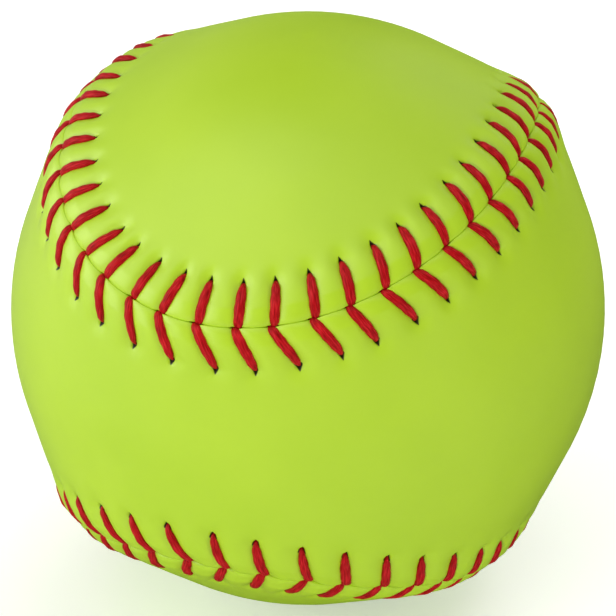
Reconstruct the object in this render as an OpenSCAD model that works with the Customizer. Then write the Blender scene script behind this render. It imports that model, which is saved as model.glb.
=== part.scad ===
// A raised-seam softball: a foam core, a coat of cement, a cover of two figure-eight
// panels, a cord under each ridge of the seam, and the two threads that sew the panels.
// The origin is the middle of the ball. The back panel has its round ends at the top and
// the bottom and its waist at the back; the front panel has its ends left and right and
// its waist at the front.

/* [Ball] */
// Radius of the smooth part of the cover
ball_r = 48; // [44:0.5:52]
// Thickness of a cover panel
skin_t = 1.6; // [1.3:0.1:1.9]
// Thickness of the cement between core and cover
cement_t = 0.3; // [0.2:0.05:0.5]

/* [Seam] */
// Share of the triple wave in the seam curve, which sets how wide the two waists are
wave_share = 0.407; // [0.37:0.01:0.44]
// Distance from the seam line to the top of each ridge
crest_off = 2.6; // [2.4:0.1:3]
// Distance from the seam line to the needle holes
hole_off = 6.2; // [5.8:0.1:7]
// Distance from the seam line to the foot of the raised stretch
foot_off = 18; // [15:0.5:19]
// Diameter of the cord that fills each ridge
cord_d = 1; // [0.8:0.1:1.2]

/* [Stitching] */
// Number of stitches round the seam
stitches = 88; // [80:4:96]
// Diameter of the thread
thread_d = 1.2; // [1:0.05:1.3]
// How far along the seam the back panel's side of a stitch goes down between the panels
back_lean = 1.3; // [1:0.1:1.5]
// How far beyond it the front panel's side goes down
front_lean_more = 1.35; // [1.3:0.05:1.7]
// How far the two rows of needle holes slip past their even places, first one way and then back
hole_slip = 0.8; // [0:0.1:1]
// How far the sewing runs behind and ahead of even spacing, as a share of a stitch
drift_share = 0.6; // [0:0.1:0.8]

/* [Hidden] */

// Sides of the seam on which the two panels lie
BACK = -1;
FRONT = 1;

// Clearance round whatever lies against the inside of the cover
seat_gap = 0.06;
// Clearance between the cement and the cover, which is made of flat facets
bond_gap = 0.35;
// Clearance round a thread in its needle hole
needle_gap = 0.12;

core_r = ball_r - skin_t - bond_gap - cement_t;
cement_r = core_r + cement_t;

// The ridges rise by what lies under them: the cord, the thread and their clearances
crest_rise = thread_d + cord_d + 4 * seat_gap;
thread_r = thread_d / 2;
hole_half = thread_r + needle_gap;
edge_off = thread_r + seat_gap;
lip_off = (edge_off + crest_off) / 2 - seat_gap * 4;
lip_drop = thread_r / 2;
front_lean = back_lean + front_lean_more;

// Height of the ridge's side, as a power of the share of the way in from its foot
slope_power_share = 1.7;
// Half the angle that a panel's middle line spans, from one round end to the other
spine_half_angle = 108;

// Lengths along the seam for one turn of the curve's angle
stretch = 1 + 8 * wave_share + 9 * wave_share * wave_share;
unevenness = 2 * wave_share / stretch;
seam_len = 2 * PI * ball_r * sqrt(stretch) / (1 + wave_share) * (1 - pow(unevenness, 2) / 16);
pitch = seam_len / stitches;

function unit(v) = v / norm(v);
function angle_of(length) = length / ball_r * 180 / PI;

// The seam's own angle at a place counted in stitches, so that stitches are evenly spaced
function even_angle(n) =
    let (a = 360 * n / stitches)
    a + unevenness / 8 * 180 / PI * sin(4 * a);

// The same with the drift of the sewing, which crowds the stitches over the top of the ball
DRIFT_START = 18;
function seam_angle(n) =
    even_angle(n - drift_share * sin(360 * n / stitches + DRIFT_START));

function seam_dir(q) = unit([
    -sin(q) - wave_share * sin(3 * q),
    -2 * sqrt(wave_share) * cos(2 * q),
    cos(q) - wave_share * cos(3 * q)]);

function along_dir(q) = unit([
    -cos(q) - 3 * wave_share * cos(3 * q),
    4 * sqrt(wave_share) * sin(2 * q),
    -sin(q) + 3 * wave_share * sin(3 * q)]);

// A point at a place along the seam in stitches, a distance across it and a radius
function ball_point(n, across, r) =
    let (q = seam_angle(n), c = seam_dir(q), w = cross(c, along_dir(q)), a = angle_of(across))
    r * (c * cos(a) + w * sin(a));

// Radius of the cover's outside at a distance from the seam line
function slope_rise(off) =
    let (share = (foot_off - off) / (foot_off - crest_off))
    crest_rise * pow(max(0, share), slope_power_share);
function skin_r(off) = ball_r + slope_rise(off);

// A point on the middle line of a panel, opposite a place along the seam
function spine_dir(side, n) =
    let (q = even_angle(n),
         a = spine_half_angle * (side == BACK ? cos(q) : -sin(q)))
    side == BACK ? [0, cos(a), sin(a)] : [sin(a), -cos(a), 0];

// A point between the foot of the raised stretch and the panel's middle line
function inner_field_dir(side, n, share) =
    unit(ball_point(n, side * foot_off, 1) * (1 - share) + spine_dir(side, n) * share);

// Rows of points on a panel, as pairs of distance from the seam line and radius
outer_rows = [
    [edge_off, skin_r(crest_off) - lip_drop * 3],
    [lip_off, skin_r(crest_off) - lip_drop],
    [crest_off, skin_r(crest_off)],
    [hole_off - hole_half, skin_r(hole_off - hole_half)],
    [hole_off + hole_half, skin_r(hole_off + hole_half)],
    [(hole_off * 2 + foot_off) / 3, skin_r((hole_off * 2 + foot_off) / 3)]];
inner_rows = [
    [edge_off, skin_r(crest_off) - skin_t],
    [crest_off + cord_d / 2, skin_r(crest_off) - skin_t],
    [hole_off - hole_half, skin_r(hole_off - hole_half) - skin_t],
    [hole_off + hole_half, skin_r(hole_off + hole_half) - skin_t]];
// Rows past the needle holes, which both surfaces of a panel have
slope_offs = [(hole_off + foot_off * 2) / 3, foot_off];
field_shares = [1 / 3, 2 / 3];
// The rows of outer_rows and inner_rows that the needle holes start from
OUTER_HOLE_ROW = 3;
INNER_HOLE_ROW = 2;

// Place of a needle hole along the seam, in stitches; the rows slip most over the top
SLIP_SWINGS = 4;
function hole_place(side, k) =
    let (a = 360 * k / stitches, over_top_share = (1 + cos(a)) / 2)
    k - side * hole_slip / pitch * cos(SLIP_SWINGS * a) * over_top_share;

// Full rows have a point on either side of each needle hole, half rows one for each hole
full_count = 2 * stitches;
function full_place(side, j) =
    hole_place(side, floor(j / 2)) + (j % 2 == 0 ? -1 : 1) * hole_half / pitch;

function full_points(side, rows) =
    [for (row = rows, j = [0 : full_count - 1])
        ball_point(full_place(side, j), side * row[0], row[1])];
function slope_points(side, depth) =
    [for (off = slope_offs, k = [0 : stitches - 1])
        ball_point(k, side * off, skin_r(off) - depth)];
function field_points(side, depth) =
    [for (share = field_shares, k = [0 : stitches - 1])
        (ball_r - depth) * inner_field_dir(side, k, share)];
function spine_points(side, depth) =
    let (first = side == BACK ? 0 : -stitches / 4)
    [for (k = [0 : stitches / 2]) (ball_r - depth) * spine_dir(side, first + k)];

// Faces between two rows of equal count, with the row nearer the seam first
function turned(face, flip) = flip ? [face[2], face[1], face[0]] : face;
function strip(a, b, count, flip, skip_even = false) =
    [for (j = [0 : count - 1])
        if (!(skip_even && j % 2 == 0))
            let (k = (j + 1) % count)
            each [turned([a + j, b + k, b + j], flip), turned([a + j, a + k, b + k], flip)]];
// Faces between a full row and a half row
function joining_strip(a, b, flip) =
    [for (k = [0 : stitches - 1])
        let (m = (k + 1) % stitches, left = a + 2 * k + 1, right = a + 2 * m)
        each [turned([a + 2 * k, left, b + k], flip), turned([left, b + m, b + k], flip),
              turned([left, right, b + m], flip)]];
// Faces between a half row and the middle line, where the two long edges of the panel meet
function spine_index(side, k) =
    let (j = (k + (side == BACK ? 0 : stitches / 4)) % stitches)
    min(j, stitches - j);
function spine_strip(side, a, b, flip) =
    [for (k = [0 : stitches - 1])
        let (m = (k + 1) % stitches, p = b + spine_index(side, k), q = b + spine_index(side, m))
        each [turned([a + k, q, p], flip), turned([a + k, a + m, q], flip)]];
// The four walls of each needle hole, from the outside of the cover to its inside
function hole_walls(outer, inner, flip) =
    [for (k = [0 : stitches - 1])
        let (j = 2 * k,
             top = [outer + j, outer + j + 1, outer + full_count + j + 1, outer + full_count + j],
             low = [inner + j, inner + j + 1, inner + full_count + j + 1, inner + full_count + j])
        for (e = [0 : 3])
            let (f = (e + 1) % 4)
            each [turned([top[e], top[f], low[f]], flip), turned([top[e], low[f], low[e]], flip)]];

// One surface of a panel: its points, and its faces with the points numbered from base
function surface_points(side, rows, depth) =
    concat(full_points(side, rows), slope_points(side, depth), field_points(side, depth),
           spine_points(side, depth));
function surface_faces(side, base, full, hole_row, flip) =
    let (half = base + full * full_count,
         halves = len(slope_offs) + len(field_shares),
         spine = half + halves * stitches)
    [for (i = [0 : full - 2])
        each strip(base + i * full_count, base + (i + 1) * full_count, full_count, flip,
                   i == hole_row),
     each joining_strip(base + (full - 1) * full_count, half, flip),
     for (i = [0 : halves - 2])
        each strip(half + i * stitches, half + (i + 1) * stitches, stitches, flip),
     each spine_strip(side, half + (halves - 1) * stitches, spine, flip)];

module cover_panel(side) {
    outer = surface_points(side, outer_rows, 0);
    inner = surface_points(side, inner_rows, skin_t);
    under = len(outer);
    flip = side == FRONT;
    faces = concat(
        surface_faces(side, 0, len(outer_rows), OUTER_HOLE_ROW, flip),
        surface_faces(side, under, len(inner_rows), INNER_HOLE_ROW, !flip),
        strip(under, 0, full_count, flip),
        hole_walls(OUTER_HOLE_ROW * full_count, under + INNER_HOLE_ROW * full_count, flip));
    polyhedron(points = concat(outer, inner), faces = faces, convexity = 12);
}

// A tube along a list of points, each with the direction of the ring's first corner
TUBE_SIDES = 5;
function tube_ring(p, heading, first, r) =
    let (d = unit(heading), u = unit(first - d * (first * d)), v = cross(d, u))
    [for (s = [0 : TUBE_SIDES - 1])
        let (a = 360 * s / TUBE_SIDES) p + r * (u * cos(a) + v * sin(a))];
function tube_faces(rings) =
    [for (i = [0 : rings - 2])
        each [for (s = [0 : TUBE_SIDES - 1])
            let (t = (s + 1) % TUBE_SIDES, a = i * TUBE_SIDES, b = a + TUBE_SIDES)
            each [[a + s, b + s, b + t], [a + s, b + t, a + t]]]];

// The cord under one ridge, an endless loop at a steady distance from the seam line
cord_r = skin_r(crest_off) - skin_t - seat_gap - cord_d / 2;
module seam_cord(side) {
    points = [for (k = [0 : stitches - 1]) ball_point(k, side * crest_off, cord_r)];
    rings = [for (k = [0 : stitches - 1])
        each tube_ring(points[k],
                       points[(k + 1) % stitches] - points[(k + stitches - 1) % stitches],
                       points[k], cord_d / 2)];
    last = (stitches - 1) * TUBE_SIDES;
    joint = [for (s = [0 : TUBE_SIDES - 1])
        let (t = (s + 1) % TUBE_SIDES)
        each [[last + s, s, t], [last + s, t, last + t]]];
    polyhedron(points = rings, faces = concat(tube_faces(stitches), joint), convexity = 12);
}

// One stitch of a thread: under the hole, out of it, over the ridge, down the seam's gap and
// below the other panel's edge, as places in stitches, distances across and radii
run_r = cement_r + seat_gap + thread_r + thread_r / 4;
ride = thread_r + seat_gap / 2;
crest_lean_share = 0.4;
lip_lean_share = 0.75;
lip_across_share = 0.84;
function stitch_path(k, side) =
    let (hole = hole_place(side, k),
         dip = k + (side == BACK ? back_lean : front_lean) / pitch)
    [[hole, side * hole_off, run_r],
     [hole, side * (hole_off - needle_gap * 2), skin_r(hole_off - hole_half) + thread_r * 2 / 3],
     [hole + (dip - hole) * crest_lean_share, side * (crest_off + thread_r),
      skin_r(crest_off) + ride],
     [hole + (dip - hole) * lip_lean_share, side * (crest_off + lip_off) / 2 * lip_across_share,
      skin_r(crest_off) + ride],
     [dip, 0, skin_r(crest_off) - thread_r],
     [dip, 0, run_r + seat_gap]];
function side_of(k, first) = k % 2 == 0 ? first : -first;

module stitch_thread(first) {
    path = [for (k = [0 : stitches - 1]) each stitch_path(k, side_of(k, first))];
    points = [for (p = path) ball_point(p[0], p[1], p[2])];
    last = len(points) - 1;
    rings = [for (i = [0 : last])
        each tube_ring(points[i], points[min(i + 1, last)] - points[max(i - 1, 0)],
                       along_dir(seam_angle(path[i][0])), thread_r)];
    start_cap = [[for (s = [0 : TUBE_SIDES - 1]) s]];
    end_cap = [[for (s = [TUBE_SIDES - 1 : -1 : 0]) last * TUBE_SIDES + s]];
    polyhedron(points = rings, faces = concat(tube_faces(last + 1), start_cap, end_cap),
               convexity = 12);
}

module core() {
    color([0.86, 0.84, 0.78])
        sphere(r = core_r, $fn = 96);
}

module cement_layer() {
    color([0.93, 0.87, 0.62])
        difference() {
            sphere(r = cement_r, $fn = 96);
            sphere(r = core_r, $fn = 96);
        }
}

module seam_cord_back() {
    color([0.95, 0.93, 0.88])
        seam_cord(BACK);
}

module seam_cord_front() {
    color([0.95, 0.93, 0.88])
        seam_cord(FRONT);
}

module cover_panel_back() {
    color([0.74, 0.87, 0.33])
        cover_panel(BACK);
}

module cover_panel_front() {
    color([0.70, 0.84, 0.28])
        cover_panel(FRONT);
}

module stitch_thread_1() {
    color([0.74, 0.09, 0.16])
        stitch_thread(BACK);
}

module stitch_thread_2() {
    color([0.80, 0.12, 0.18])
        stitch_thread(FRONT);
}

core();
cement_layer();
seam_cord_back();
seam_cord_front();
cover_panel_back();
cover_panel_front();
stitch_thread_1();
stitch_thread_2();
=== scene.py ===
"""Looks of a raised-seam softball: its cover, its two threads, and the studio round it."""

import math

import bmesh
import bpy
import numpy as np
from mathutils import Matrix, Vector


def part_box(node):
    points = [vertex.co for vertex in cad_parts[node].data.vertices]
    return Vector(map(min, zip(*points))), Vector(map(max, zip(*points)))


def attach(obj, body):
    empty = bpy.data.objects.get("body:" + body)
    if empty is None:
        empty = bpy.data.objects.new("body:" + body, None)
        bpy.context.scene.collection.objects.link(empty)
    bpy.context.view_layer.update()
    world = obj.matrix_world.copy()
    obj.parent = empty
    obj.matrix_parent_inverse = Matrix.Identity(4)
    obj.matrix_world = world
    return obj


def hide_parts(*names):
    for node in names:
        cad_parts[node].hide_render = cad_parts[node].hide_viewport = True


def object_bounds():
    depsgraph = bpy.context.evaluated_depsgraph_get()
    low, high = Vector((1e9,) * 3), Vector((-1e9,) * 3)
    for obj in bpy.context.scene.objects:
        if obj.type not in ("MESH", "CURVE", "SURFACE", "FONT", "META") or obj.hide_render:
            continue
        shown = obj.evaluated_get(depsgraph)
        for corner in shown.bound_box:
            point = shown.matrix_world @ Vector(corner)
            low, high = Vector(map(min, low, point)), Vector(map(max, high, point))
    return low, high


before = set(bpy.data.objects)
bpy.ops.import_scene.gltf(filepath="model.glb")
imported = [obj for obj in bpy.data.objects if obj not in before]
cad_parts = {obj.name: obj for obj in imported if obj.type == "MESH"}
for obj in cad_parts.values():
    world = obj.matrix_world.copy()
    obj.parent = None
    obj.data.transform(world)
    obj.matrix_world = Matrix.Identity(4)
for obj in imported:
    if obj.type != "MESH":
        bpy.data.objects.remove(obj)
cad_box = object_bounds()

# Sides of the seam on which the two panels lie
BACK = -1
FRONT = 1

# The ball, in metres, as the frame has it
BALL_R = (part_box("cover_panel_back")[1].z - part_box("cover_panel_back")[0].z) / 2
CEMENT_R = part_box("cement_layer")[1].z
SKIN_T = 0.0016

# The seam curve, the row of stitches along it, and a panel's middle line
WAVE_SHARE = 0.407
STITCHES = 88
HOLE_OFF = 0.0062
HOLE_SLIP = 0.0008
SLIP_SWINGS = 4
DRIFT_SHARE = 0.6
DRIFT_START = math.radians(18)
SPINE_HALF_ANGLE = math.radians(108)

# The ridge that a panel makes beside the seam
CREST_OFF = 0.0026
CREST_RISE = 0.00244
FOOT_OFF = 0.018
SLOPE_POWER = 1.7

# Where the two sides of a stitch go down between the panels, past its place along the seam,
# and how its lean grows on the way there from its needle hole
DIP_MIDDLE = 0.00195
DIP_SPREAD = 0.00032
LEAN_POWER = 1.25

# How far hand sewing strays from an even row, in three waves round the ball
HAND_SLIP = 0.00016
HAND_SWINGS = (11, 29, 37)

# How the cover puffs out between the stitches and is drawn in under them: sharply beside
# the threads, softly past the needle holes, and less on the half of the ball where the
# thread was pulled less tight
PUFF_RISE = 0.00105
PUFF_LEVEL_SHARE = 0.64
PUFF_POWER = 2.3
SOFT_PUFF_SHARE = 0.38
SLACK_SHARE = 0.16
PUFF_FULL_OFF = 0.0043
PUFF_SOFT_OFF = 0.0066
PUFF_END_OFF = 0.0095

# The rounded edge of a panel, and how far it is forced open where the threads go down
LIP_REACH = 0.0011
LIP_DROP = 0.00025
LIP_TURN = math.radians(47)
EDGE_GAP = 0.00001
EDGE_OPEN = 0.00014
EDGE_OPEN_REACH = 0.0009
EDGE_OPEN_POWER = 4
EDGE_PULL_END = 0.003

# A needle hole: round where the thread fills it, drawn out to a point away from the seam
HOLE_DEPTH = 0.0006
HOLE_HALF_WIDTH = 0.00046
HOLE_INNER_REACH = 0.0005
HOLE_POINT_REACH = 0.0009
HOLE_POINT_SHARE = 0.5
HOLE_TAPER_SHARE = 0.6
HOLE_RIM_SHARE = 1.2

# The hollow that the tight thread draws into the cover round each hole
HOLLOW_DEPTH = 0.00028
HOLLOW_OFF = 0.0061
HOLLOW_REACH = 0.0018
HOLLOW_HALF_WIDTH = 0.0015

# The thread, two plies twisted together and waxed
THREAD_HALF_WIDTH = 0.00078
THREAD_HALF_HEIGHT = 0.00056
THREAD_SIDES = 12
WIDTH_STRAY_SHARE = 0.06
WIDTH_STRAY_TURN = 2.7
PLIES = 2
PLY_SHARE = 0.05
PLY_TURN = 0.0042

# The seam curve's mean square speed, how far that swings, the seam's length on the ball, and
# the pitch of its stitches
STRETCH = 1 + 8 * WAVE_SHARE + 9 * WAVE_SHARE ** 2
UNEVENNESS = 2 * WAVE_SHARE / STRETCH
SEAM_LENGTH = (2 * math.pi * BALL_R * math.sqrt(STRETCH) / (1 + WAVE_SHARE)
               * (1 - UNEVENNESS ** 2 / 16))
PITCH = SEAM_LENGTH / STITCHES


def unit(vectors):
    return vectors / np.linalg.norm(vectors, axis=-1, keepdims=True)


def eased(share):
    """0 to 1 with a soft start and end."""
    t = np.clip(share, 0, 1)
    return t * t * (3 - 2 * t)


def way_round(place):
    """A place along the seam, in stitches, as an angle of its one turn round the ball."""
    return 2 * math.pi * place / STITCHES


def even_angle(place):
    """The seam curve's own angle at a place, where the stitches are evenly spaced."""
    a = way_round(place)
    return a + UNEVENNESS / 8 * np.sin(4 * a)


def seam_angle(place):
    """The same angle with the drift of the sewing."""
    return even_angle(place - DRIFT_SHARE * np.sin(way_round(place) + DRIFT_START))


def seam_dir(q):
    """From the middle of the ball to the seam."""
    return unit(np.stack([-np.sin(q) - WAVE_SHARE * np.sin(3 * q),
                          -2 * math.sqrt(WAVE_SHARE) * np.cos(2 * q),
                          np.cos(q) - WAVE_SHARE * np.cos(3 * q)], -1))


def along_dir(q):
    """The way that the seam runs."""
    return unit(np.stack([-np.cos(q) - 3 * WAVE_SHARE * np.cos(3 * q),
                          4 * math.sqrt(WAVE_SHARE) * np.sin(2 * q),
                          -np.sin(q) + 3 * WAVE_SHARE * np.sin(3 * q)], -1))


def ball_dir(place, across):
    """Direction of a point at a place along the seam and a distance across it."""
    q = seam_angle(place)
    c = seam_dir(q)
    w = np.cross(c, along_dir(q))
    a = (across / BALL_R)[..., None]
    return c * np.cos(a) + w * np.sin(a)


def spine_dir(side, place):
    """A point on the middle line of a panel, opposite a place along the seam."""
    q = even_angle(place)
    zero = np.zeros_like(q)
    if side == BACK:
        a = SPINE_HALF_ANGLE * np.cos(q)
        return np.stack([zero, np.cos(a), np.sin(a)], -1)
    a = -SPINE_HALF_ANGLE * np.sin(q)
    return np.stack([np.sin(a), -np.cos(a), zero], -1)


def hand_slip(side, place):
    """The stray of hand sewing, in stitches."""
    a = way_round(place)
    return HAND_SLIP / PITCH * sum(np.sin(swings * (a + side)) for swings in HAND_SWINGS)


def leg_shift(side, place, off):
    """How far a stitch lies from its even place along the seam, in stitches."""
    a = way_round(place)
    over_top = (1 + np.cos(a)) / 2
    slip = -side * HOLE_SLIP / PITCH * np.cos(SLIP_SWINGS * a) * over_top
    slip = slip + hand_slip(side, place)
    dip = (DIP_MIDDLE + side * DIP_SPREAD) / PITCH + hand_slip(0, place)
    lean = np.clip(1 - off / HOLE_OFF, 0, 1) ** LEAN_POWER
    fade = 1 - eased((off - HOLE_OFF) / (FOOT_OFF - HOLE_OFF))
    return slip * (1 - lean) * fade + dip * lean


def slope_rise(off):
    """Height of the ridge over the smooth ball at a distance from the seam."""
    share = np.clip((FOOT_OFF - off) / (FOOT_OFF - CREST_OFF), 0, 1)
    return CREST_RISE * share ** SLOPE_POWER


def puff_rise(off, beside, place):
    """Rise of the cover at a distance beside the middle of the nearest stitch."""
    pull = 1 - SLACK_SHARE * (1 + np.sin(way_round(place))) / 2
    reach = 1 - eased((off - PUFF_FULL_OFF) / (PUFF_END_OFF - PUFF_FULL_OFF))
    sharp = 1 - (1 - np.abs(beside) / (PITCH / 2)) ** PUFF_POWER - PUFF_LEVEL_SHARE
    soft = -SOFT_PUFF_SHARE * np.cos(2 * math.pi * beside / PITCH)
    softness = eased((off - PUFF_FULL_OFF) / (PUFF_SOFT_OFF - PUFF_FULL_OFF))
    return PUFF_RISE * pull * reach * (sharp * (1 - softness) + soft * softness)


def hole_share(off, beside):
    """1 in the middle of a needle hole, 0 on its rim and beyond."""
    out = off - HOLE_OFF
    reach = np.where(out < 0, HOLE_INNER_REACH, HOLE_POINT_REACH)
    taper = HOLE_POINT_SHARE + HOLE_TAPER_SHARE * (1 - out / HOLE_POINT_REACH)
    width = HOLE_HALF_WIDTH * np.clip(taper, HOLE_POINT_SHARE, 1)
    from_middle = np.sqrt((out / reach) ** 2 + (beside / width) ** 2)
    return eased(HOLE_RIM_SHARE - from_middle)


def hollow_depth(off, beside):
    from_hole = ((off - HOLLOW_OFF) / HOLLOW_REACH) ** 2 + (beside / HOLLOW_HALF_WIDTH) ** 2
    return HOLLOW_DEPTH * np.exp(-from_hole)


def edge_opening(side, beside):
    """How far a panel's edge is forced back where the threads go down."""
    from_middle = beside + side * DIP_SPREAD
    return EDGE_OPEN * np.exp(-(from_middle / EDGE_OPEN_REACH) ** EDGE_OPEN_POWER)


# The pattern of a panel is a flat sheet, wrapped on the ball. Its columns follow the
# stitches; its rows go from the middle line of the outside, round the edge, to the middle
# line of the inside. The rows lie closer in the band that puffs, and closest at the holes.
COLUMNS_PER_STITCH = 8
COLUMN_CROWDING_SHARE = 0.42
FIELD_ROWS = 9
SLOPE_STEP = 0.0011
BAND_START = 0.0096
BAND_STEP = 0.0004
HOLES_START = 0.0077
HOLES_STEP = 0.00014
RIDGE_START = 0.0054
RIDGE_STEP = 0.0003
LIP_ROWS = 7
INSIDE_START = 0.0015
INSIDE_ROWS = 9
INSIDE_FIELD_ROWS = 5

# A flat sheet is one unit long and wide, with its middle at zero
SHEET_HALF = 0.5
SAME_ROW_SHARE = 0.1
WELD_REACH = 1e-7

# The material's marks are in thousandths of a metre
MARKS_PER_METRE = 1000


def panel_rows():
    """Each row's distance from the seam, its share of the way from the foot of the ridge to
    the middle line, its depth below the outside, and whether it has the fine columns."""
    rows = [(FOOT_OFF, share, 0, 0) for share in np.linspace(1, 0, FIELD_ROWS)]
    rows += [(off, 0, 0, 0)
             for off in np.arange(FOOT_OFF - SLOPE_STEP, BAND_START, -SLOPE_STEP)]
    for start, end, step in ((BAND_START, HOLES_START, BAND_STEP),
                             (HOLES_START, RIDGE_START, HOLES_STEP),
                             (RIDGE_START, LIP_REACH, RIDGE_STEP)):
        rows += [(off, 0, 0, 1) for off in np.arange(start, end, -step)]
    reach = math.sin(LIP_TURN)
    drop = 1 - math.cos(LIP_TURN)
    rows += [(LIP_REACH * (1 - math.sin(turn) / reach) + EDGE_GAP, 0,
              LIP_DROP * (1 - math.cos(turn)) / drop, 1)
             for turn in np.linspace(0, LIP_TURN, LIP_ROWS)]
    rows += [(EDGE_GAP, 0, (LIP_DROP + SKIN_T) / 2, 1), (EDGE_GAP, 0, SKIN_T, 1)]
    rows += [(off, 0, SKIN_T, 0) for off in np.linspace(INSIDE_START, FOOT_OFF, INSIDE_ROWS)]
    rows += [(FOOT_OFF, share, SKIN_T, 0) for share in np.linspace(0, 1, INSIDE_FIELD_ROWS)[1:]]
    return np.array(rows).T


def flat_sheet(columns, rows):
    bm = bmesh.new()
    bm.loops.layers.uv.new("pattern")
    bmesh.ops.create_grid(bm, x_segments=columns, y_segments=rows, size=SHEET_HALF,
                          calc_uvs=True)
    return bm


def split_columns(bm, fine, row_count):
    """Gives the fine rows twice the columns."""
    same_row = SAME_ROW_SHARE / row_count
    split = []
    for edge in bm.edges:
        a, b = (v.co.y for v in edge.verts)
        if abs(a - b) < same_row and fine[round((a + SHEET_HALF) * row_count)]:
            split.append(edge)
    bmesh.ops.subdivide_edges(bm, edges=split, cuts=1, use_grid_fill=True)


def laid_out(bm, name):
    """The flat sheet as a mesh, and each point's place on it as shares of its two sides."""
    mesh = bpy.data.meshes.new(name)
    bm.to_mesh(mesh)
    bm.free()
    flat = np.zeros(len(mesh.vertices) * 3)
    mesh.vertices.foreach_get("co", flat)
    flat = flat.reshape(-1, 3) + SHEET_HALF
    return mesh, flat[:, 0], flat[:, 1]


def sewn_up(mesh, spots, material):
    """Moves the points of a sheet to their spots, joins its edges and makes it an object."""
    mesh.vertices.foreach_set("co", spots.ravel())
    bm = bmesh.new()
    bm.from_mesh(mesh)
    bmesh.ops.remove_doubles(bm, verts=bm.verts, dist=WELD_REACH)
    rims = [edge for edge in bm.edges if edge.is_boundary]
    bmesh.ops.holes_fill(bm, edges=rims, sides=0)
    bmesh.ops.recalc_face_normals(bm, faces=bm.faces)
    for face in bm.faces:
        face.smooth = True
    bm.to_mesh(mesh)
    bm.free()
    mesh.materials.append(material)
    piece = bpy.data.objects.new(mesh.name, mesh)
    bpy.context.scene.collection.objects.link(piece)
    return piece


def sewn_panel(side, name, material):
    across, to_middle, below, fine = panel_rows()
    row_count = len(across) - 1
    bm = flat_sheet(STITCHES * COLUMNS_PER_STITCH, row_count)
    split_columns(bm, fine, row_count)
    mesh, along, down = laid_out(bm, name)

    # Columns crowd towards the threads, where the cover bends most
    row = np.rint(down * row_count).astype(int)
    off, share, depth = across[row], to_middle[row], below[row]
    place = along * STITCHES
    stitch = np.rint(place)
    beside = place - stitch
    beside -= COLUMN_CROWDING_SHARE * np.sin(2 * math.pi * beside) / (2 * math.pi)
    place = stitch + beside
    beside *= PITCH

    hole = hole_share(off, beside) * (depth == 0)
    outer = np.clip(1 - depth / SKIN_T, 0, 1)
    swell = puff_rise(off, beside, place) - hollow_depth(off, beside)
    radius = BALL_R + slope_rise(off) - depth + swell * outer - hole * HOLE_DEPTH
    pull = edge_opening(side, beside) * np.clip(1 - off / EDGE_PULL_END, 0, 1)
    spots = ball_dir(place + leg_shift(side, place, off), side * (off + pull))
    middle = spine_dir(side, place)
    spots = unit(spots * (1 - share)[:, None] + middle * share[:, None]) * radius[:, None]

    # What the leather's material knows of the sewing, for the shade it paints into the needle
    # holes
    outside = depth < SKIN_T / 2
    marks = {"beside_stitch": np.where(outside, np.abs(beside), PITCH),
             "past_hole": off - HOLE_OFF}
    for mark, lengths in marks.items():
        values = mesh.attributes.new(mark, "FLOAT", "POINT")
        values.data.foreach_set("value", lengths * MARKS_PER_METRE)
    return sewn_up(mesh, spots, material)


# The course of one stitch, from under its needle hole, over the ridge and down between the
# panels: distance from the seam, height over the cover, and share of the thread's width
STITCH_COURSE = np.array([
    (0.00622, -0.00150, 0.50),
    (0.00620, -0.00085, 0.44),
    (0.00614, -0.00038, 0.42),
    (0.00596, 0.00002, 0.52),
    (0.00556, 0.00034, 0.72),
    (0.00492, 0.00050, 0.89),
    (0.00405, 0.00056, 0.98),
    (0.00310, 0.00056, 1.00),
    (0.00205, 0.00052, 1.00),
    (0.00120, 0.00042, 1.00),
    (0.00065, 0.00022, 0.98),
    (0.00034, -0.00018, 0.92),
    (0.00024, -0.00080, 0.78),
    (0.00022, -0.00160, 0.70)])
RINGS_PER_STITCH = 40

# A thread's hidden run stays this far above the cement
RUN_LIFT = 0.00075


def smooth_course(points, samples):
    """Samples of a smooth curve through a list of points, from the first to the last."""
    before = np.vstack([points[:1] * 2 - points[1:2], points[:-1]])
    after = np.vstack([points[1:], points[-1:] * 2 - points[-2:-1]])
    slope = (after - before) / 2
    at = np.linspace(0, len(points) - 1, samples)
    i = np.minimum(at.astype(int), len(points) - 2)
    t = (at - i)[:, None]
    return ((2 * t ** 3 - 3 * t ** 2 + 1) * points[i] + (t ** 3 - 2 * t ** 2 + t) * slope[i]
            + (3 * t ** 2 - 2 * t ** 3) * points[i + 1] + (t ** 3 - t ** 2) * slope[i + 1])


def thread_course(first):
    """The middle of a thread all round the seam: its points and its share of full width."""
    off, lift, width = smooth_course(STITCH_COURSE, RINGS_PER_STITCH).T
    on_stitch = np.zeros_like(off)
    spots, widths = [], []
    for k in range(STITCHES):
        side = first if k % 2 == 0 else -first
        place = k + leg_shift(side, np.full_like(off, k), off)
        under_leg = (BALL_R + slope_rise(off) + puff_rise(off, on_stitch, k)
                     - hollow_depth(off, on_stitch))
        radius = np.maximum(under_leg + lift, CEMENT_R + RUN_LIFT)
        spots.append(ball_dir(place, side * off) * radius[:, None])
        widths.append(width * (1 + WIDTH_STRAY_SHARE * math.sin(WIDTH_STRAY_TURN * k)))
    return np.concatenate(spots), np.concatenate(widths)


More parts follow.
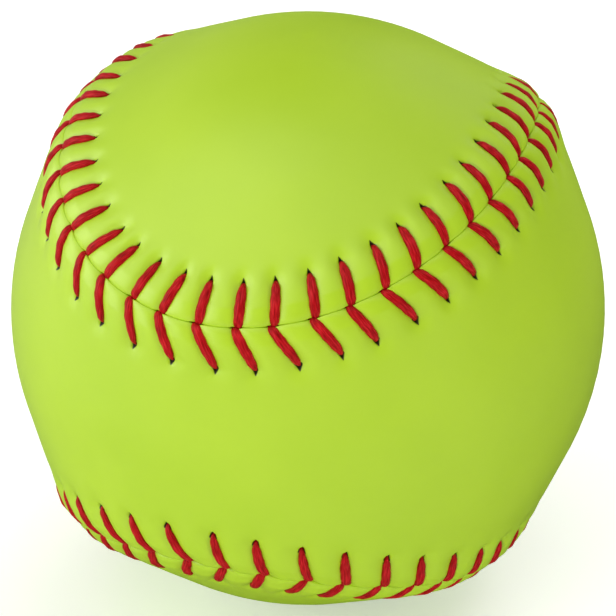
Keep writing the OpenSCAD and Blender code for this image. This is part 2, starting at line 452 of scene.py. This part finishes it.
def sewing_thread(first, name, material):
    middle, width = thread_course(first)
    rings = len(middle) - 1
    mesh, along, around = laid_out(flat_sheet(rings, THREAD_SIDES), name)
    ring = np.rint(along * rings).astype(int)

    heading = unit(np.gradient(middle, axis=0))
    travelled = np.concatenate([[0], np.cumsum(np.linalg.norm(np.diff(middle, axis=0), axis=1))])
    place = np.repeat(np.arange(STITCHES), RINGS_PER_STITCH).astype(float)
    flat_way = along_dir(seam_angle(place))
    flat_way = unit(flat_way - heading * np.sum(flat_way * heading, axis=1, keepdims=True))
    thick_way = np.cross(heading, flat_way)

    turn = 2 * math.pi * around
    twist = 2 * math.pi * travelled[ring] / PLY_TURN
    ply = 1 + PLY_SHARE * np.cos(PLIES * (turn - twist))
    wide = THREAD_HALF_WIDTH * width[ring] * ply * np.cos(turn)
    high = THREAD_HALF_HEIGHT * width[ring] * ply * np.sin(turn)
    spots = middle[ring] + flat_way[ring] * wide[:, None] + thick_way[ring] * high[:, None]
    return sewn_up(mesh, spots, material)


def node_material(name):
    material = bpy.data.materials.new(name)
    material.use_nodes = True
    nodes = material.node_tree.nodes
    links = material.node_tree.links
    return material, nodes, links, nodes["Principled BSDF"]


def noise(nodes, links, coordinates, scale, detail):
    texture = nodes.new("ShaderNodeTexNoise")
    texture.inputs["Scale"].default_value = scale
    texture.inputs["Detail"].default_value = detail
    links.new(coordinates, texture.inputs["Vector"])
    return texture.outputs["Fac"]


def ramp(nodes, links, source, stops):
    """Colours along a value: a list of pairs of place and colour."""
    colours = nodes.new("ShaderNodeValToRGB")
    elements = colours.color_ramp.elements
    elements[0].position, elements[0].color = stops[0]
    elements[1].position, elements[1].color = stops[-1]
    for position, colour in stops[1:-1]:
        elements.new(position).color = colour
    links.new(source, colours.inputs["Fac"])
    return colours.outputs["Color"]


def colour_mix(nodes, links, under, blend):
    mix = nodes.new("ShaderNodeMix")
    mix.data_type = "RGBA"
    mix.blend_type = blend
    links.new(under, mix.inputs["A"])
    return mix


def painted(nodes, links, under, where, colour):
    """A colour laid over another one where a mark is."""
    mix = colour_mix(nodes, links, under, "MIX")
    links.new(where, mix.inputs["Factor"])
    mix.inputs["B"].default_value = colour
    return mix.outputs["Result"]


def worn(nodes, links, under, wear):
    """A colour dimmed by the wear on it."""
    mix = colour_mix(nodes, links, under, "MULTIPLY")
    mix.inputs["Factor"].default_value = 1
    links.new(wear, mix.inputs["B"])
    return mix.outputs["Result"]


def bump(nodes, links, height, distance, strength, under=None):
    relief = nodes.new("ShaderNodeBump")
    relief.inputs["Distance"].default_value = distance
    relief.inputs["Strength"].default_value = strength
    links.new(height, relief.inputs["Height"])
    if under is not None:
        links.new(under, relief.inputs["Normal"])
    return relief.outputs["Normal"]


def sewing_mark(nodes, name):
    mark = nodes.new("ShaderNodeAttribute")
    mark.attribute_name = name
    return mark.outputs["Fac"]


def from_to(nodes, links, value, ends, results):
    """Where a value lies between two ends, read between two results."""
    span = nodes.new("ShaderNodeMapRange")
    span.inputs["From Min"].default_value, span.inputs["From Max"].default_value = ends
    span.inputs["To Min"].default_value, span.inputs["To Max"].default_value = results
    links.new(value, span.inputs["Value"])
    return span.outputs["Result"]


def sums(nodes, links, operation, a, b):
    step = nodes.new("ShaderNodeMath")
    step.operation = operation
    links.new(a, step.inputs[0])
    links.new(b, step.inputs[1])
    return step.outputs["Value"]


def towards(nodes, links, vector, direction):
    """How far a vector goes in a direction."""
    share = nodes.new("ShaderNodeVectorMath")
    share.operation = "DOT_PRODUCT"
    links.new(vector, share.inputs[0])
    share.inputs[1].default_value = direction
    return share.outputs["Value"]


# The shade painted inside a needle hole, in the marks' thousandths of a metre: how its half
# width falls past the hole's middle, and where its sides and its two ends begin and are full
DARK_TAPER = (-0.2, 0.95)
DARK_HALF_WIDTHS = (0.52, 0.03)
DARK_SIDE = (-0.04, 0.05)
DARK_INNER_END = (-0.5, -0.35)
DARK_POINT_END = (1.0, 0.85)
ZERO_TO_ONE = (0, 1)


def painted_hole_shade(nodes, links):
    """1 where a needle hole's shade is painted: a wedge that narrows to a point away from the
    seam.
    """
    out = sewing_mark(nodes, "past_hole")
    half_width = from_to(nodes, links, out, DARK_TAPER, DARK_HALF_WIDTHS)
    inside = sums(nodes, links, "SUBTRACT", half_width, sewing_mark(nodes, "beside_stitch"))
    across = from_to(nodes, links, inside, DARK_SIDE, ZERO_TO_ONE)
    inner_end = from_to(nodes, links, out, DARK_INNER_END, ZERO_TO_ONE)
    point_end = from_to(nodes, links, out, DARK_POINT_END, ZERO_TO_ONE)
    along = sums(nodes, links, "MULTIPLY", inner_end, point_end)
    return sums(nodes, links, "MULTIPLY", across, along)


# Colours and finishes
LEATHER_DEEP = (0.420, 0.645, 0.010, 1)
LEATHER_BRIGHT = (0.450, 0.675, 0.014, 1)
LEATHER_ROUGHNESSES = (0.40, 0.50)
LEATHER_SHINE = 0.95
# The painted shade of the needle holes' depth
HOLE_PAINTED_SHADE = (0.012, 0.018, 0.006, 1)
FIBRE_DEEP = (0.240, 0.002, 0.003, 1)
FIBRE_RED = (0.45, 0.005, 0.008, 1)
FIBRE_BRIGHT = (0.63, 0.020, 0.026, 1)
FIBRE_SCALES = (700, 22, 1)
THREAD_WORN = (0.86, 0.86, 0.86, 1)
THREAD_ROUGHNESS = 0.42
THREAD_SHINE = 0.12
WHITE = (1, 1, 1, 1)


def cover_leather():
    """Smooth optic yellow-green synthetic leather, a little mottled, with shade painted into its
    punched holes.
    """
    material, nodes, links, shader = node_material("cover_leather")
    place = nodes.new("ShaderNodeTexCoord").outputs["Object"]
    mottle = noise(nodes, links, place, scale=45, detail=3)
    colour = ramp(nodes, links, mottle, [(0.35, LEATHER_DEEP), (0.65, LEATHER_BRIGHT)])
    # Painted shade in the needle holes: near black where the thread goes in, narrowing to a
    # point
    colour = painted(nodes, links, colour, painted_hole_shade(nodes, links), HOLE_PAINTED_SHADE)
    links.new(colour, shader.inputs["Base Color"])

    shader.inputs["Specular IOR Level"].default_value = LEATHER_SHINE
    handling = noise(nodes, links, place, scale=120, detail=4)
    polish = from_to(nodes, links, handling, ZERO_TO_ONE, LEATHER_ROUGHNESSES)
    links.new(polish, shader.inputs["Roughness"])

    pebbles = nodes.new("ShaderNodeTexVoronoi")
    pebbles.feature = "SMOOTH_F1"
    pebbles.inputs["Scale"].default_value = 1900
    links.new(place, pebbles.inputs["Vector"])
    grain = bump(nodes, links, pebbles.outputs["Distance"], distance=0.00003, strength=0.12)
    waves = noise(nodes, links, place, scale=260, detail=3)
    relief = bump(nodes, links, waves, distance=0.00008, strength=0.10, under=grain)
    links.new(relief, shader.inputs["Normal"])
    return material


def waxed_thread():
    """Red waxed thread: fine fibres that follow the twist, with a dull shine."""
    material, nodes, links, shader = node_material("waxed_thread")
    pattern = nodes.new("ShaderNodeUVMap")
    pattern.uv_map = "pattern"
    twist = nodes.new("ShaderNodeMapping")
    twist.inputs["Scale"].default_value = FIBRE_SCALES
    links.new(pattern.outputs["UV"], twist.inputs["Vector"])
    fibres = noise(nodes, links, twist.outputs["Vector"], scale=1, detail=3)
    colour = ramp(nodes, links, fibres,
                  [(0.32, FIBRE_DEEP), (0.50, FIBRE_RED), (0.68, FIBRE_BRIGHT)])
    place = nodes.new("ShaderNodeTexCoord").outputs["Object"]
    rubbing = noise(nodes, links, place, scale=320, detail=2)
    wear = ramp(nodes, links, rubbing, [(0.4, THREAD_WORN), (0.7, WHITE)])
    links.new(worn(nodes, links, colour, wear), shader.inputs["Base Color"])
    shader.inputs["Roughness"].default_value = THREAD_ROUGHNESS
    shader.inputs["Specular IOR Level"].default_value = THREAD_SHINE
    relief = bump(nodes, links, fibres, distance=0.00010, strength=0.6)
    links.new(relief, shader.inputs["Normal"])
    return material


def hidden_finish(name, deep, bright, scale, roughness, relief):
    """A mottled matte finish for a piece under the cover."""
    material, nodes, links, shader = node_material(name)
    place = nodes.new("ShaderNodeTexCoord").outputs["Object"]
    mottle = noise(nodes, links, place, scale, detail=4)
    colour = ramp(nodes, links, mottle, [(0.3, deep), (0.7, bright)])
    links.new(colour, shader.inputs["Base Color"])
    shader.inputs["Roughness"].default_value = roughness
    relief = bump(nodes, links, mottle, distance=relief, strength=0.6)
    links.new(relief, shader.inputs["Normal"])
    return material


def finish_hidden_pieces():
    foam = hidden_finish("moulded_foam",
                         deep=(0.62, 0.58, 0.48, 1), bright=(0.74, 0.71, 0.62, 1),
                         scale=700, roughness=0.8, relief=0.0002)
    cement = hidden_finish("dried_cement",
                           deep=(0.72, 0.60, 0.30, 1), bright=(0.84, 0.75, 0.46, 1),
                           scale=160, roughness=0.35, relief=0.0001)
    cord = hidden_finish("cotton_cord",
                         deep=(0.70, 0.66, 0.56, 1), bright=(0.86, 0.83, 0.76, 1),
                         scale=1600, roughness=0.9, relief=0.0002)
    finishes = {"core": foam, "cement_layer": cement, "seam_cord_back": cord,
                "seam_cord_front": cord}
    for node, finish in finishes.items():
        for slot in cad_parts[node].material_slots:
            slot.material = finish


# The photograph's view: the camera's direction and distance from the middle of the ball, in
# metres, and its lens and sensor in millimetres
CAMERA_AZIMUTH = math.radians(20.1)
CAMERA_ELEVATION = math.radians(29.2)
CAMERA_DISTANCE = 0.48
CAMERA_NEAREST = 0.01
CAMERA_LENS = 172.7
CAMERA_SENSOR = 36


def set_camera():
    level = CAMERA_DISTANCE * math.cos(CAMERA_ELEVATION)
    stand = Vector((level * math.sin(CAMERA_AZIMUTH), -level * math.cos(CAMERA_AZIMUTH),
                    CAMERA_DISTANCE * math.sin(CAMERA_ELEVATION)))
    data = bpy.data.cameras.new("camera")
    data.lens = CAMERA_LENS
    data.sensor_width = CAMERA_SENSOR
    data.clip_start = CAMERA_NEAREST
    camera = bpy.data.objects.new("camera", data)
    camera.location = stand
    camera.rotation_euler = (-stand).to_track_quat("-Z", "Y").to_euler()
    bpy.context.scene.collection.objects.link(camera)
    bpy.context.scene.camera = camera


def soft_lamp(name, spot, width, height, power, shine=True):
    """A lamp with a wide soft front, aimed at the ball; a fill lamp leaves no shine on it."""
    data = bpy.data.lights.new(name, "AREA")
    data.shape = "ELLIPSE"
    data.size = width
    data.size_y = height
    data.energy = power
    lamp = bpy.data.objects.new(name, data)
    lamp.location = spot
    lamp.rotation_euler = (-Vector(spot)).to_track_quat("-Z", "Y").to_euler()
    lamp.visible_glossy = shine
    bpy.context.scene.collection.objects.link(lamp)


def hang_lamps():
    soft_lamp("left_softbox", (-1.0, -0.56, 0.4), width=1.8, height=0.85, power=8.8)
    soft_lamp("overhead_softbox", (-0.35, -0.36, 1.1), width=1.1, height=1.1, power=3.4)
    soft_lamp("top_fill", (0.4, 0.0, 1.15), width=0.9, height=0.9, power=3.9, shine=False)
    soft_lamp("right_fill", (1.1, -0.4, 0.06), width=0.35, height=0.35, power=3.6, shine=False)
    soft_lamp("low_fill", (0.05, -1.1, 0.03), width=0.2, height=0.2, power=4.0, shine=False)
    soft_lamp("back_fill", (0.2, 1.0, 0.5), width=0.8, height=0.8, power=6.4, shine=False)


# The room's even light, and its white as the camera sees it
ROOM_STRENGTH = 0.18
SEEN_STRENGTH = 1

# The ball's shine shows a dark room with one pale wall, and a floor that is paler on one side
WALL_WAY = (-0.95, 0.3, 0.1)
WALL_SPAN = (0.55, 1)
WALL_STRENGTHS = (0, 0.6)
PALE_SIDE_WAY = (-1, -0.3, 0)
PALE_SIDE_SPAN = (-0.02, 0.2)
PALE_SIDE_SHADES = (0.06, 0.5)

# The floor, and the glow that makes it white to the camera further off
FLOOR_HALF = 3
FLOOR_WHITE = (0.94, 0.94, 0.94, 1)
FLOOR_ROUGHNESS = 0.9
GLOW_SPAN = (0.3, 1.2)
GLOW_STRENGTHS = (0.35, 1)


def for_rays(nodes, links, kind, these, others):
    """One shader for the rays of a kind and another one for all others."""
    choice = nodes.new("ShaderNodeMixShader")
    rays = nodes.new("ShaderNodeLightPath")
    links.new(rays.outputs[kind], choice.inputs["Fac"])
    links.new(others, choice.inputs[1])
    links.new(these, choice.inputs[2])
    return choice.outputs["Shader"]


def white_light(background):
    background.inputs["Color"].default_value = WHITE
    return background.inputs["Strength"], background.outputs["Background"]


def light_room():
    world = bpy.data.worlds.new("studio")
    world.use_nodes = True
    nodes = world.node_tree.nodes
    links = world.node_tree.links
    room_strength, room = white_light(nodes["Background"])
    room_strength.default_value = ROOM_STRENGTH
    seen_strength, seen = white_light(nodes.new("ShaderNodeBackground"))
    seen_strength.default_value = SEEN_STRENGTH
    wall_strength, mirrored = white_light(nodes.new("ShaderNodeBackground"))
    way = nodes.new("ShaderNodeTexCoord").outputs["Generated"]
    wall = towards(nodes, links, way, WALL_WAY)
    links.new(from_to(nodes, links, wall, WALL_SPAN, WALL_STRENGTHS), wall_strength)
    around = for_rays(nodes, links, "Is Glossy Ray", mirrored, room)
    whole = for_rays(nodes, links, "Is Camera Ray", seen, around)
    links.new(whole, nodes["World Output"].inputs["Surface"])
    bpy.context.scene.world = world


def pale_floor():
    material, nodes, links, shader = node_material("pale_floor")
    shader.inputs["Base Color"].default_value = FLOOR_WHITE
    shader.inputs["Roughness"].default_value = FLOOR_ROUGHNESS
    shader.inputs["Specular IOR Level"].default_value = 0
    place = nodes.new("ShaderNodeTexCoord").outputs["Object"]

    away = nodes.new("ShaderNodeVectorMath")
    away.operation = "LENGTH"
    links.new(place, away.inputs[0])
    glow = nodes.new("ShaderNodeEmission")
    strength = from_to(nodes, links, away.outputs["Value"], GLOW_SPAN, GLOW_STRENGTHS)
    links.new(strength, glow.inputs["Strength"])
    seen = nodes.new("ShaderNodeAddShader")
    links.new(shader.outputs["BSDF"], seen.inputs[0])
    links.new(glow.outputs["Emission"], seen.inputs[1])

    mirrored = nodes.new("ShaderNodeBsdfDiffuse")
    side = towards(nodes, links, place, PALE_SIDE_WAY)
    shade = from_to(nodes, links, side, PALE_SIDE_SPAN, PALE_SIDE_SHADES)
    links.new(shade, mirrored.inputs["Color"])
    around = for_rays(nodes, links, "Is Glossy Ray", mirrored.outputs["BSDF"],
                      shader.outputs["BSDF"])
    whole = for_rays(nodes, links, "Is Camera Ray", seen.outputs["Shader"], around)
    links.new(whole, nodes["Material Output"].inputs["Surface"])
    return material


def lay_floor():
    bm = bmesh.new()
    bmesh.ops.create_grid(bm, x_segments=2, y_segments=2, size=FLOOR_HALF)
    bmesh.ops.translate(bm, verts=bm.verts, vec=(0, 0, cad_box[0][2]))
    mesh = bpy.data.meshes.new("floor")
    bm.to_mesh(mesh)
    bm.free()
    mesh.materials.append(pale_floor())
    floor = bpy.data.objects.new("floor", mesh)
    bpy.context.scene.collection.objects.link(floor)


def sew_ball():
    leather = cover_leather()
    thread = waxed_thread()
    pieces = {
        "cover_panel_back": (sewn_panel(BACK, "sewn_panel_back", leather), "cover"),
        "cover_panel_front": (sewn_panel(FRONT, "sewn_panel_front", leather), "cover"),
        "stitch_thread_1": (sewing_thread(BACK, "sewing_thread_1", thread), "thread"),
        "stitch_thread_2": (sewing_thread(FRONT, "sewing_thread_2", thread), "thread")}
    for node, (piece, slot) in pieces.items():
        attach(piece, "root")
        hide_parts(node)


set_camera()
hang_lamps()
light_room()
lay_floor()
sew_ball()
finish_hidden_pieces()
bpy.context.scene.view_settings.view_transform = "Standard"
